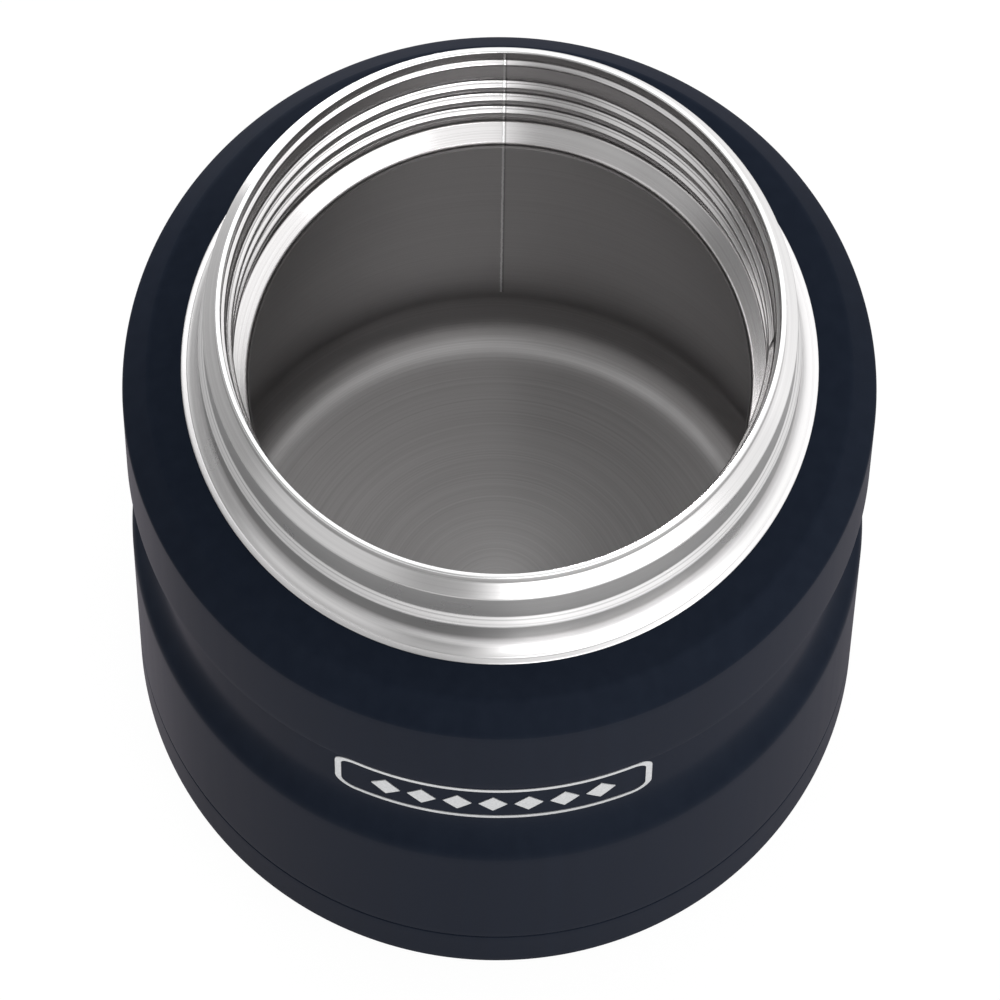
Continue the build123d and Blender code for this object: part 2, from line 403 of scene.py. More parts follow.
def powderCoatGroup():
    # baked powder coat: rounded grains under a millimetre across, and faint streaks that run down the wall
    v = coatMarks
    group, given, result = nodeGroup(
        "powderCoat", {"Grain": v["grain"], "Streaks": v["streaks"]}, ("Grain", "Streaks"))
    nodes, links = group.nodes, group.links
    place = objectPlace(nodes)
    squeeze = nodes.new("ShaderNodeVectorMath")
    squeeze.operation = "MULTIPLY"
    squeeze.inputs[1].default_value = v["streakLength"]
    links.new(place, squeeze.inputs[0])
    grain = noiseNode(nodes, links, place, given.outputs["Grain"], v["detail"])
    streaks = noiseNode(nodes, links, squeeze.outputs[0], given.outputs["Streaks"], v["detail"])
    links.new(grain, result.inputs["Grain"])
    links.new(streaks, result.inputs["Streaks"])
    return group


turningLines = turningLinesGroup()
powderCoat = powderCoatGroup()


paint = {
    "color": (0.0075, 0.0106, 0.0182),
    "lighter": (0.0091, 0.0126, 0.0210),
    "roughness": (0.44, 0.52),
    "gloss": 0.016,
    "spread": 0.9,
    "sheen": 0.085,                 # the dusty lift of powder coat seen edge on
    "sheenRoughness": 0.28,
    "sheenTint": (1.0, 0.90, 1.0, 1.0),
    "grainDepth": 0.02 * mm,
    "grainStrength": 0.35,
}


def midnightPaint():
    v = paint
    material, nodes, links, shader = newMaterial("midnightPaint")
    coat = groupNode(nodes, powderCoat)
    streaks = coat.outputs["Streaks"]
    color = twoTone(nodes, links, streaks, v["color"], v["lighter"])
    links.new(color, shader.inputs["Base Color"])
    rough = rangeNode(nodes, links, streaks, 0, 1, *v["roughness"], kind="LINEAR")
    links.new(rough, shader.inputs["Roughness"])
    grain = bump(nodes, links, coat.outputs["Grain"], v["grainDepth"], v["grainStrength"])
    links.new(grain, shader.inputs["Normal"])
    shader.inputs["Specular IOR Level"].default_value = v["gloss"]
    shader.inputs["Sheen Weight"].default_value = v["sheen"]
    shader.inputs["Sheen Roughness"].default_value = v["sheenRoughness"]
    shader.inputs["Sheen Tint"].default_value = v["sheenTint"]
    spreadRound(nodes, links, shader, v["spread"])
    return material


# painted shade up the neck: places (mm over the foot of its flange) and how far the steel's colour is
# darkened there
neckTones = [
    (neckFoot + rise * mm, level) for rise, level in (
        (0.0, 1.0), (2.9, 1.0), (4.1, 0.44), (7.8, 0.44),         # painted shade in the groove under the bead
        (8.2, 1.0), (8.65, 1.0), (8.82, 0.70), (8.99, 1.0),       # a fine painted shade line low on the bead
        (9.5, 1.0), (9.68, 0.62), (9.86, 1.0), (10.1, 1.0),       # and one high on it
        (10.5, 0.49), (16.8, 0.49), (17.2, 1.0),                  # painted shade on the plain wall
        (19.0, 1.0), (19.3, 0.45), (20.6, 0.60),                  # painted shade on the side of the lip
    )
]
turnedFinishes = {
    "neckSteel": {
        "dark": (0.72, 0.71, 0.71), "light": (0.84, 0.83, 0.83), "roughness": (0.26, 0.30),
        "depth": 0.0007 * mm, "spread": 0.9, "tones": neckTones,
    },
    "weldSteel": {
        "dark": (0.80, 0.80, 0.80), "light": (0.90, 0.90, 0.90), "roughness": (0.16, 0.20), "spread": 0.3,
    },
    "panSteel": {
        "dark": (0.42, 0.41, 0.40), "light": (0.58, 0.57, 0.56), "roughness": (0.32, 0.45),
        "lines": 3500.0,
    },
    "bottomSteel": {
        "dark": (0.44, 0.43, 0.43), "light": (0.54, 0.53, 0.53), "roughness": (0.29, 0.33),
        "lines": 5000.0,
    },
}


def turnedSteel(name, dark, light, roughness, lines=9000.0, depth=0.004 * mm, spread=0.6, tones=None,
                lineStrength=0.6):
    # bright steel with lines round the axis, its colour darkened by height as painted shade where it is
    # given stops
    material, nodes, links, shader = newMaterial(name)
    marks = groupNode(nodes, turningLines, Lines_per_metre=lines)
    color = twoTone(nodes, links, marks.outputs["Lines"], dark, light)
    if tones:
        z = partsOf(nodes, links, objectPlace(nodes))[2]
        color = scaled(nodes, links, color, heightTone(nodes, links, z, tones))
    links.new(color, shader.inputs["Base Color"])
    rough = rangeNode(nodes, links, marks.outputs["Patches"], 0, 1, *roughness, kind="LINEAR")
    links.new(rough, shader.inputs["Roughness"])
    links.new(bump(nodes, links, marks.outputs["Lines"], depth, lineStrength), shader.inputs["Normal"])
    shader.inputs["Metallic"].default_value = 1
    spreadRound(nodes, links, shader, spread)
    return material


grainFinishes = {
    "shieldFoil": {
        "dark": (0.78, 0.78, 0.80), "light": (0.93, 0.93, 0.94), "roughness": (0.12, 0.30),
        "scale": 220.0, "metal": 1.0, "depth": 0.05 * mm, "stretch": (1, 1, 0.35),
    },
    "getterPowder": {
        "dark": (0.09, 0.09, 0.10), "light": (0.24, 0.24, 0.25), "roughness": (0.65, 0.9),
        "scale": 2400.0, "metal": 0.6, "depth": 0.03 * mm,
    },
    "clipSteel": {
        "dark": (0.46, 0.45, 0.44), "light": (0.62, 0.61, 0.60), "roughness": (0.28, 0.42),
        "scale": 1600.0, "metal": 1.0, "depth": 0.01 * mm, "stretch": (0.05, 1, 1),
    },
    "sealingGlass": {
        "dark": (0.10, 0.13, 0.13), "light": (0.24, 0.28, 0.27), "roughness": (0.06, 0.18),
        "scale": 500.0, "metal": 0.0, "depth": 0.02 * mm,
    },
    "curedBond": {
        "dark": (0.05, 0.05, 0.05), "light": (0.12, 0.12, 0.115), "roughness": (0.45, 0.7),
        "scale": 300.0, "metal": 0.0, "depth": 0.12 * mm,
    },
    "silverInk": {
        "dark": (0.50, 0.51, 0.52), "light": (0.68, 0.68, 0.69), "roughness": (0.30, 0.42),
        "scale": 3000.0, "metal": 0.7, "depth": 0.01 * mm,
    },
}


def grainedMaterial(name, dark, light, roughness, scale, metal, depth, stretch=(1, 1, 1), detail=4.0,
                    grainRough=0.6, strength=0.5):
    # a finish whose colour, gloss and surface follow one noise, stretched where the finish has a direction
    material, nodes, links, shader = newMaterial(name)
    mapping = nodes.new("ShaderNodeMapping")
    mapping.inputs["Scale"].default_value = stretch
    links.new(objectPlace(nodes), mapping.inputs["Vector"])
    grain = noiseNode(nodes, links, mapping.outputs[0], scale, detail, grainRough)
    links.new(twoTone(nodes, links, grain, dark, light), shader.inputs["Base Color"])
    rough = rangeNode(nodes, links, grain, 0, 1, *roughness, kind="LINEAR")
    links.new(rough, shader.inputs["Roughness"])
    links.new(bump(nodes, links, grain, depth, strength), shader.inputs["Normal"])
    shader.inputs["Metallic"].default_value = metal
    return material


paintFinish = midnightPaint()
steels = {name: turnedSteel(name, **values) for name, values in turnedFinishes.items()}
grained = {name: grainedMaterial(name, **values) for name, values in grainFinishes.items()}
print("materials ready")


shell = {
    "skin": 0.5 * mm,
    "waistDepth": 2.9 * mm,
    "waistFootZ": 48.05 * mm,
    "bandZ": 78.95 * mm,
    "shoulderZ": 100.55 * mm,
    "shoulderRise": 5.06 * mm,
    "shoulderInset": 3.75 * mm,
    "crownSlope": 20.0,             # degrees
    "crownLap": 2.0 * mm,
    "shoulderBend": 1.7 * mm,       # radii on the painted face
    "creaseBend": 2.0 * mm,
    "bandBend": 0.85 * mm,
    "undercutSlope": 30.0,          # degrees
    "waistSlope": 30.0,             # degrees
    "waistBend": 15.5 * mm,
    "footBend": 5.0 * mm,
    "smallBend": 0.25 * mm,
    "seamGap": 0.25 * mm,
    "seamRound": 0.3 * mm,
    "capSkin": 0.6 * mm,
    "capClearance": 0.1 * mm,
    "longest": 2 * mm,              # step along the outline
    "columns": 480,
    "sharpFrom": 50,                # degrees
}
waistRadius = bodyRadius - shell["waistDepth"]
spigotRadius = bodyRadius - shell["capSkin"] - shell["capClearance"]


def turnedShell(name, corners):
    # a painted sheet turned round the axis: the corners give its outer face, the skin lies inside it
    outline = sheetOutline(corners, -shell["skin"], shell["longest"])
    return creased(turned(name, outline, shell["columns"]), shell["sharpFrom"])


def makeShoulderShell():
    # from under the flange down the cone of the crown, over the crease and the steep shoulder to the
    # upright band, and in along the undercut to the joint
    s = shell
    slope = tan(radians(s["crownSlope"]))
    start = flangeRadius - s["crownLap"]
    crease = bodyRadius - s["shoulderInset"]
    creaseZ = s["shoulderZ"] + s["shoulderRise"]
    undercut = s["waistDepth"] * tan(radians(s["undercutSlope"]))
    return turnedShell("shoulderShell", [
        (start, creaseZ + (crease - start) * slope, 0),
        (crease, creaseZ, s["creaseBend"]),
        (bodyRadius, s["shoulderZ"], s["shoulderBend"]),
        (bodyRadius, s["bandZ"], s["bandBend"]),
        (waistRadius, s["bandZ"] - undercut, s["smallBend"]),
        (waistRadius, shellJointZ, 0),
    ])


def makeBodyShell():
    # from the joint down the upright waist, out along the slope at its foot, down the trunk and in at
    # the seam to the spigot inside the cap
    s = shell
    stepZ = seamZ + s["seamGap"]
    footRun = s["waistDepth"] / tan(radians(s["waistSlope"]))
    return turnedShell("bodyShell", [
        (waistRadius, shellJointZ, 0),
        (waistRadius, s["waistFootZ"] + footRun, s["waistBend"]),
        (bodyRadius, s["waistFootZ"], s["footBend"]),
        (bodyRadius, stepZ, s["seamRound"]),
        (spigotRadius, stepZ, 0),
        (spigotRadius, bottomOf("body_shell"), 0),
    ])


cap = {
    "skin": 0.6 * mm,
    "bend": 1.1 * mm,
    "footWidth": 10.0 * mm,
    "footRise": 1.2 * mm,
    "footRun": 2.5 * mm,
    "smallBend": 0.5 * mm,
    "rimRound": 0.2 * mm,
    "longest": 2 * mm,
    "columns": 480,
    "sharpFrom": 50,                # degrees
}


def makeBaseCap():
    # the cap's outline runs from the axis out under the foot, up the skirt, over the rim and back inside
    c = cap
    footInner = bodyRadius - c["footWidth"]
    under = roundedLine([
        (0, c["footRise"], 0),
        (footInner - c["footRun"], c["footRise"], c["smallBend"]),
        (footInner, 0, c["smallBend"]),
        (bodyRadius, 0, c["bend"]),
        (bodyRadius, seamZ, c["rimRound"]),
        (bodyRadius - c["skin"] / 2, seamZ, 0),
    ])
    inside = roundedLine([
        (bodyRadius - c["skin"] / 2, seamZ, 0),
        (bodyRadius - c["skin"], seamZ, c["rimRound"]),
        (bodyRadius - c["skin"], c["skin"], c["bend"] - c["skin"]),
        (footInner, c["skin"], c["smallBend"]),
        (footInner - c["footRun"], c["footRise"] + c["skin"], c["smallBend"]),
        (0, c["footRise"] + c["skin"], 0),
    ])
    outline = divided(np.vstack([under, inside[1:]]), c["longest"])
    return creased(turned("baseCap", outline, c["columns"], closed=False), c["sharpFrom"])


dress(makeShoulderShell(), paintFinish, "navy_paint", "shoulder_shell")
dress(makeBodyShell(), paintFinish, "charcoal_paint", "body_shell")
dress(makeBaseCap(), paintFinish, "charcoal_paint", "base_cap")
print("painted shells made")


neck = {
    "skin": 0.4 * mm,
    "flangeReach": 2.6 * mm,
    "beadStep": 0.8 * mm,
    "rootRise": 8.4 * mm,
    "beadRise": 1.9 * mm,
    "wallRise": 6.7 * mm,
    "chamferRise": 2.2 * mm,
    "rootBend": 3.3 * mm,
    "beadBend": 0.7 * mm,
    "neckBend": 0.25 * mm,
    "chamferBend": 0.7 * mm,
    "lipBend": 0.25 * mm,
    "lineIn": 0.75 * mm,            # the fine line inside the flange's edge
    "lineWidth": 0.16 * mm,
    "lineDepth": 0.05 * mm,
    "arcStep": radians(4),
    "longest": 0.6 * mm,
    "columns": 500,
    "sharpFrom": 60,                # degrees
}
rootRadius = flangeRadius - neck["flangeReach"]
neckRadius = rootRadius - neck["beadStep"]


def scored(line, radius, width, depth):
    # the line with a fine groove at this radius: each point drops by depth times a half cosine across,
    # on points a quarter of its width apart within three widths of it
    near = np.abs(line[:, 0] - radius) < 3 * width
    fine = divided(line[near], width / 4)
    first = np.argmax(near)
    out = np.vstack([line[:first], fine, line[first + near.sum():]])
    across = np.clip(np.abs(out[:, 0] - radius) / width, 0, 1)
    out[:, 1] -= depth * 0.5 * (1 + np.cos(pi * across))
    return out


def makeNeckCollar():
    # from the flange's edge up its cone, round the root and up to the bead, in over it, up the plain
    # wall, in along the chamfer to the lip and up to the weld; a half circle closes the edge
    n = neck
    slope = tan(radians(shell["crownSlope"]))
    tipRadius = flangeRadius - n["skin"] / 4        # the rounded edge stands out from here
    tipZ = neckFoot + n["skin"]
    beadZ = neckFoot + n["rootRise"]
    neckZ = beadZ + n["beadRise"]
    chamferZ = neckZ + n["wallRise"]
    lipZ = chamferZ + n["chamferRise"]
    corners = [
        (tipRadius, tipZ, 0),
        (rootRadius, tipZ + (tipRadius - rootRadius) * slope, n["rootBend"]),
        (rootRadius, beadZ, n["beadBend"]),
        (neckRadius, neckZ, n["neckBend"]),
        (neckRadius, chamferZ, n["chamferBend"]),
        (lipRadius, lipZ, n["lipBend"]),
        (lipRadius, weldFoot, 0),
    ]
    line = divided(roundedLine(corners, n["arcStep"]), n["longest"])
    back = besideLine(line, n["skin"])[::-1]
    face = scored(line, flangeRadius - n["lineIn"], n["lineWidth"], n["lineDepth"])
    outline = np.vstack([face, back, halfRound(back[-1], line[0])])
    return creased(turned("neckCollar", outline, n["columns"]), n["sharpFrom"])


lip = {
    "linerSkin": 0.4 * mm,
    "round": 0.28 * mm,
    "arcStep": radians(15),
    "columns": 640,
    "sharpFrom": 60,                # degrees
}
lipBoreRadius = lipRadius - neck["skin"] - lip["linerSkin"]


def makeMouthWeld():
    # a ring of four corners over the ends of neck and liner, its two upper ones rounded
    inner = lipBoreRadius
    corners = [
        (inner, weldFoot, 0),
        (lipRadius, weldFoot, 0),
        (lipRadius, jarTop, lip["round"]),
        (inner, jarTop, lip["round"]),
        (inner, weldFoot, 0),
    ]
    outline = roundedLine(corners, lip["arcStep"])[:-1]
    return creased(turned("mouthWeld", outline, lip["columns"]), lip["sharpFrom"])


dress(makeNeckCollar(), steels["neckSteel"], "neck_steel", "neck_collar")
dress(makeMouthWeld(), steels["weldSteel"], "weld_steel", "mouth_weld")
print("neck and lip made")


liner = {
    "skin": lip["linerSkin"],
    "lipBoreDepth": 2.64 * mm,
    "seatStep": 0.65 * mm,
    "seatRise": 0.5 * mm,
    "funnelDepth": 23.2 * mm,
    "funnelStep": 2.95 * mm,
    "funnelRise": 1.96 * mm,
    "throatLength": 1.6 * mm,
    "chamberDrop": 16.3 * mm,       # foot of the flange to the top of the chamber's wall
    "seatBend": 0.25 * mm,
    "boreBend": 0.65 * mm,
    "funnelBend": 0.8 * mm,
    "throatBend": 1.3 * mm,
    "chamberBend": 6.0 * mm,
    "longest": 3 * mm,              # step along the outline below the bore
    "longestOuter": 12 * mm,        # and on the hidden side
    "columns": 340,
    "sharpFrom": 60,                # degrees
}
thread = {
    "pitch": 4.65 * mm,
    "turns": 3.05,
    "depth": 0.88 * mm,
    "upperHalf": 1.33 * mm,         # from the middle of the ridge to the ends of its two flanks
    "lowerHalf": 1.4 * mm,
    "crestHalf": 0.55 * mm,
    "topDepth": 6.26 * mm,
    "topAngle": 0.0,                # radians from +X
    "leadIn": radians(5),           # how quickly the ridge rises at its two ends
    "ease": 0.12 * mm,              # how far the corners of its outline are rounded
    "rowStep": 0.12 * mm,
}
boreRadius = lipBoreRadius - liner["seatStep"]
throatRadius = boreRadius - liner["funnelStep"]
chamberRadius = chamberOuterRadius - liner["skin"]
threadTop = jarTop - thread["topDepth"]
threadRise = thread["pitch"] * thread["turns"]


def smoothStep(x):
    # three x squared less two x cubed, held between 0 and 1
    x = np.clip(x, 0, 1)
    return x * x * (3 - 2 * x)


def easedRamp(x, ease):
    # a straight ramp from 0 to 1 with both corners rounded: the mean of the ramp over x - ease to x + ease
    def area(t):
        return np.where(t < 1, np.clip(t, 0, 1) ** 2 / 2, t - 0.5)

    return (area(x + ease) - area(x - ease)) / (2 * ease)


def ridgeHeight(angle, z):
    # the ridge's height over the bore. The middle of the ridge comes down one pitch a turn from its upper
    # end, clockwise seen from above; across it the ridge rises and falls on straight flanks with rounded
    # corners, and both of its ends run out within the lead-in.
    t = thread
    height = np.zeros(np.broadcast(angle, z).shape)
    start = np.mod(t["topAngle"] - angle, 2 * pi)
    for turn in range(int(np.ceil(t["turns"]))):
        along = start + 2 * pi * turn
        middle = threadTop - t["pitch"] * along / (2 * pi)
        half = np.where(z > middle, t["upperHalf"], t["lowerHalf"])
        run = half - t["crestHalf"]
        flank = easedRamp((half - np.abs(z - middle)) / run, t["ease"] / run)
        ends = smoothStep(along / t["leadIn"]) * smoothStep((2 * pi * t["turns"] - along) / t["leadIn"])
        height = np.maximum(height, t["depth"] * flank * ends)
    return height


def makeInnerVessel():
    # the liner turned like the other sheets, with the thread's ridge standing in from its inner side. The
    # inner line has fine rows in the bore; the hidden outer line has every other point of a coarser one.
    n = liner
    seatTop = jarTop - n["lipBoreDepth"]
    funnelTop = jarTop - n["funnelDepth"]
    throatTop = funnelTop - n["funnelRise"]
    inner = roundedLine([
        (lipBoreRadius, weldFoot, 0),
        (lipBoreRadius, seatTop, n["seatBend"]),
        (boreRadius, seatTop - n["seatRise"], n["boreBend"]),
        (boreRadius, funnelTop, n["funnelBend"]),
        (throatRadius, throatTop, n["throatBend"]),
        (throatRadius, throatTop - n["throatLength"], n["throatBend"]),
        (chamberRadius, neckFoot - n["chamberDrop"], n["chamberBend"]),
        (chamberRadius, linerFoot, 0),
    ])
    inBore = (inner[:, 0] < boreRadius + 1e-6) & (inner[:, 1] > funnelTop)
    first = np.argmax(inBore)
    last = len(inBore) - np.argmax(inBore[::-1])
    line = np.vstack([
        inner[:first],
        divided(inner[first:last], thread["rowStep"]),
        divided(inner[last:], n["longest"]),
    ])
    outer = besideLine(divided(inner, n["longestOuter"]), n["skin"])[::2]
    outer = np.vstack([outer, [[chamberOuterRadius, linerFoot]]])
    outline = np.vstack([line, outer[::-1]])
    columns = n["columns"]
    angles = ringAngles(columns)
    height = np.repeat(outline[:, 1:], columns, axis=1)
    inside = np.arange(len(outline))[:, None] < len(line)
    radius = outline[:, :1] - np.where(inside, ridgeHeight(angles[None, :], height), 0)
    quads = gridFaces(len(outline), columns, True)
    return creased(meshPiece("innerVessel", ringPoints(radius, height, angles), quads), n["sharpFrom"])


foodFloor = {
    "bend": 8.0 * mm,
    "longest": 3 * mm,
    "columns": 480,
    "sharpFrom": 60,                # degrees
}


def makeInnerBottom():
    # the floor's outline from the axis out along its upper face, up the bend, and back below
    f = foodFloor
    skin = liner["skin"]
    top = topOf("inner_bottom")
    low = bottomOf("inner_bottom")
    upper = [(0, low + skin, 0), (chamberRadius, low + skin, f["bend"]), (chamberRadius, top, 0)]
    lower = [(chamberOuterRadius, top, 0), (chamberOuterRadius, low, f["bend"] + skin), (0, low, 0)]
    outline = divided(np.vstack([roundedLine(upper), roundedLine(lower)]), f["longest"])
    return creased(turned("innerBottom", outline, f["columns"], closed=False), f["sharpFrom"])


linerSteel = {
    "dark": (0.62, 0.605, 0.605),
    "light": (0.76, 0.75, 0.75),
    "roughness": (0.15, 0.19),
    "spread": 0.6,
    "lines": 9000.0,                # a metre
    "lineDepth": 0.004 * mm,
    "strength": 0.6,                # of all its bumps
    "lipBore": 0.52,                # painted shade: how bright the steel's colour stays inside the weld
    "lipBoreEdge": (-0.1 * mm, 0.3 * mm),       # where that painted shade starts and is full, over the seat's upper edge
    "chamber": 0.72,                # how bright it is below the throat, beside the bore
    "chamberRough": 0.14,           # added there, where it is only pickled
    "chamberEdge": (4 * mm, 9 * mm),            # below the foot of the flange
    "seamHalf": 0.10 * mm,
    "seamSoft": 0.10 * mm,
    # painted highlight: the seam's near-white colour
    "seamPaintedHighlight": (0.95, 0.95, 0.95, 1),
    "seamRise": 0.4,                # of the mark's depth
    "wander": 0.3 * mm,             # how far the seam wanders, and how fast
    "wanderScale": 1500.0,
    "wanderDetail": 3.0,
    "wanderRough": 0.7,
    "shadeAside": 0.28 * mm,        # painted shade: the dark line beside the seam
    "shadeHalf": 0.06 * mm,
    "shadeSoft": 0.12 * mm,
    "seamShade": 0.62,
    "flankLine": 1.04 * mm,         # the tool line, above the middle of the ridge, darkened as painted shade
    "flankLineHalf": 0.03 * mm,
    "flankLineSoft": 0.04 * mm,
    "flankLineShade": 0.65,
    "threadFade": 1.2 * mm,         # where it ends above and below the thread
    "markDepth": 0.02 * mm,
}


def squareMask(nodes, links, distance, half, soft):
    # one where the distance is under `half`, falling to nothing over `soft`
    return rangeNode(nodes, links, distance, half + soft, half)


def weldSeamMasks(nodes, links, place, x, y):
    # the upright weld seam at the back, which wanders a little, and the painted shade line beside it
    v = linerSteel
    wander = noiseNode(nodes, links, place, v["wanderScale"], v["wanderDetail"], v["wanderRough"])
    wander = mathNode(nodes, links, "MULTIPLY_ADD", wander, v["wander"], -v["wander"] / 2)
    aside = mathNode(nodes, links, "ABSOLUTE", mathNode(nodes, links, "ADD", x, wander))
    behind = mathNode(nodes, links, "GREATER_THAN", y, 0.0)
    seam = squareMask(nodes, links, aside, v["seamHalf"], v["seamSoft"])
    shadeAside = mathNode(nodes, links, "ABSOLUTE", mathNode(nodes, links, "SUBTRACT", x, v["shadeAside"]))
    shade = squareMask(nodes, links, shadeAside, v["shadeHalf"], v["shadeSoft"])
    return (mathNode(nodes, links, "MULTIPLY", mask, behind) for mask in (seam, shade))


def toolLineMask(nodes, links, x, y, z):
    # the fine tool line on the thread's upper flank: the height over the ridge's middle, wrapped to one
    # pitch, within the reach of the thread
    v, pitch = linerSteel, thread["pitch"]
    turn = mathNode(nodes, links, "ARCTAN2", y, x)
    climb = mathNode(nodes, links, "MULTIPLY", turn, pitch / (2 * pi))
    high = mathNode(nodes, links, "SUBTRACT", z, threadTop + v["flankLine"])
    high = mathNode(nodes, links, "SUBTRACT", high, climb)
    away = mathNode(nodes, links, "WRAP", high, pitch / 2, -pitch / 2)
    away = mathNode(nodes, links, "ABSOLUTE", away)
    toolLine = squareMask(nodes, links, away, v["flankLineHalf"], v["flankLineSoft"])
    fromMiddle = mathNode(nodes, links, "SUBTRACT", z, threadTop - threadRise / 2)
    fromMiddle = mathNode(nodes, links, "ABSOLUTE", fromMiddle)
    onThread = squareMask(nodes, links, fromMiddle, threadRise / 2, v["threadFade"])
    return mathNode(nodes, links, "MULTIPLY", toolLine, onThread)


def linerSteelFinish():
    # turned steel with the weld seam and the tool line; a painted highlight on the seam, painted shade
    # beside it, in the tool line and inside the weld; darker and rougher below the throat
    v = linerSteel
    material, nodes, links, shader = newMaterial("linerSteel")
    marks = groupNode(nodes, turningLines, Lines_per_metre=v["lines"])
    place = objectPlace(nodes)
    x, y, z = partsOf(nodes, links, place)
    seam, shade = weldSeamMasks(nodes, links, place, x, y)
    toolLine = toolLineMask(nodes, links, x, y, z)
    deep = rangeNode(nodes, links, z, *(neckFoot - drop for drop in v["chamberEdge"]))

    color = twoTone(nodes, links, marks.outputs["Lines"], v["dark"], v["light"])
    bright = rangeNode(nodes, links, deep, 0, 1, 1.0, v["chamber"], kind="LINEAR")
    shaded = mathNode(nodes, links, "MULTIPLY_ADD", shade, v["seamShade"] - 1, 1.0)
    # painted shade in the tool line's groove
    lined = mathNode(nodes, links, "MULTIPLY_ADD", toolLine, v["flankLineShade"] - 1, 1.0)
    level = mathNode(nodes, links, "MULTIPLY", mathNode(nodes, links, "MULTIPLY", bright, shaded), lined)
    # painted shade: the colour inside the weld is darkened above the seat
    edgeLow, edgeHigh = (jarTop - liner["lipBoreDepth"] + rise for rise in v["lipBoreEdge"])
    heated = heightTone(nodes, links, z, [(edgeLow, 1.0), (edgeHigh, v["lipBore"])])
    level = mathNode(nodes, links, "MULTIPLY", level, heated)
    # painted highlight: the seam is painted near white over its real raised line
    welded = nodes.new("ShaderNodeMix")
    welded.data_type = "RGBA"
    links.new(seam, welded.inputs["Factor"])
    links.new(scaled(nodes, links, color, level), welded.inputs["A"])
    welded.inputs["B"].default_value = v["seamPaintedHighlight"]
    links.new(welded.outputs["Result"], shader.inputs["Base Color"])

    rough = rangeNode(nodes, links, marks.outputs["Patches"], 0, 1, *v["roughness"], kind="LINEAR")
    rough = mathNode(nodes, links, "MULTIPLY_ADD", deep, v["chamberRough"], rough)
    links.new(rough, shader.inputs["Roughness"])
    raised = mathNode(nodes, links, "MULTIPLY", seam, v["seamRise"])
    raised = mathNode(nodes, links, "SUBTRACT", raised, toolLine)
    lines = bump(nodes, links, marks.outputs["Lines"], v["lineDepth"], v["strength"])
    links.new(bump(nodes, links, raised, v["markDepth"], v["strength"], lines), shader.inputs["Normal"])
    shader.inputs["Metallic"].default_value = 1
    spreadRound(nodes, links, shader, v["spread"])
    return material


dress(makeInnerVessel(), linerSteelFinish(), "liner_steel", "inner_vessel")
dress(makeInnerBottom(), steels["bottomSteel"], "liner_steel", "inner_bottom")
print("liner made")


# what stays as packed gets its finish
for node, material in {
    "outer_bottom": steels["panSteel"],
    "evacuation_plug": grained["sealingGlass"],
    "shield_sleeve": grained["shieldFoil"],
    "shield_disc": grained["shieldFoil"],
    "getter_pill": grained["getterPowder"],
    "getter_clip": grained["clipSteel"],
    "base_bond_ring": grained["curedBond"],
    "front_print": grained["silverInk"],
}.items():
    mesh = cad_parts[node].data
    mesh.materials.clear()
    mesh.materials.append(material)


studio = {
    "floorSize": 8.0,               # from the middle to its edges
    "floorColor": (0.86, 0.86, 0.86),
    "floorGlow": 0.94,              # white that the camera and reflections see on the floor
    "floorShade": 0.08,             # how much of the floor's own shade they see with it
    "floorPaintedDim": 0.40,               # painted shade: the lower glow they see far out on the left
    "floorFade": (-270 * mm, -85 * mm),
    "floorDrop": 0.05 * mm,         # clear of the foot, which stands at nothing
    "right": 1.34,                  # strengths of the tent's sides
    "left": 0.27,
    "overhead": 1.30,               # above and behind, on the left
    "nearCamera": 0.80,             # the opening round the camera, on the right
    "leftStrip": 0.60,              # added on the left
    "leftFront": 0.25,              # added on the left
    "rightGap": -0.5,               # added on the right
}


def makeFloor():
    size = studio["floorSize"]
    low = -studio["floorDrop"]
    mesh = bpy.data.meshes.new("studioFloor")
    corners = [(-size, -size, low), (size, -size, low), (size, size, low), (-size, size, low)]
    mesh.from_pydata(corners, [], [(0, 1, 2, 3)])
    floor = bpy.data.objects.new("studioFloor", mesh)
    bpy.context.scene.collection.objects.link(floor)
    material = bpy.data.materials.new("whiteSweep")
    material.use_nodes = True
    nodes, links = material.node_tree.nodes, material.node_tree.links
    nodes.clear()
    result = nodes.new("ShaderNodeOutputMaterial")
    plain = nodes.new("ShaderNodeBsdfDiffuse")
    plain.inputs["Color"].default_value = (*studio["floorColor"], 1)
    seen = nodes.new("ShaderNodeBsdfDiffuse")
    seen.inputs["Color"].default_value = (studio["floorShade"],) * 3 + (1,)
    glow = nodes.new("ShaderNodeEmission")
    # painted shade: the floor's glow falls off towards the left
    x = partsOf(nodes, links, objectPlace(nodes))[0]
    fall = rangeNode(nodes, links, x, *studio["floorFade"], studio["floorPaintedDim"], studio["floorGlow"])
    links.new(fall, glow.inputs["Strength"])
    both = nodes.new("ShaderNodeAddShader")
    links.new(seen.outputs[0], both.inputs[0])
    links.new(glow.outputs[0], both.inputs[1])
    path = nodes.new("ShaderNodeLightPath")
    ray = mathNode(nodes, links, "MAXIMUM", path.outputs["Is Camera Ray"], path.outputs["Is Glossy Ray"])
    ray = mathNode(nodes, links, "MAXIMUM", ray, path.outputs["Is Transmission Ray"])
    mix = nodes.new("ShaderNodeMixShader")
    links.new(ray, mix.inputs[0])
    links.new(plain.outputs[0], mix.inputs[1])
    links.new(both.outputs[0], mix.inputs[2])
    clear = nodes.new("ShaderNodeMixShader")      # seen from below, the floor lets the foot show
    links.new(nodes.new("ShaderNodeNewGeometry").outputs["Backfacing"], clear.inputs[0])
    links.new(mix.outputs[0], clear.inputs[1])
    links.new(nodes.new("ShaderNodeBsdfTransparent").outputs[0], clear.inputs[2])
    links.new(clear.outputs[0], result.inputs["Surface"])
    mesh.materials.append(material)


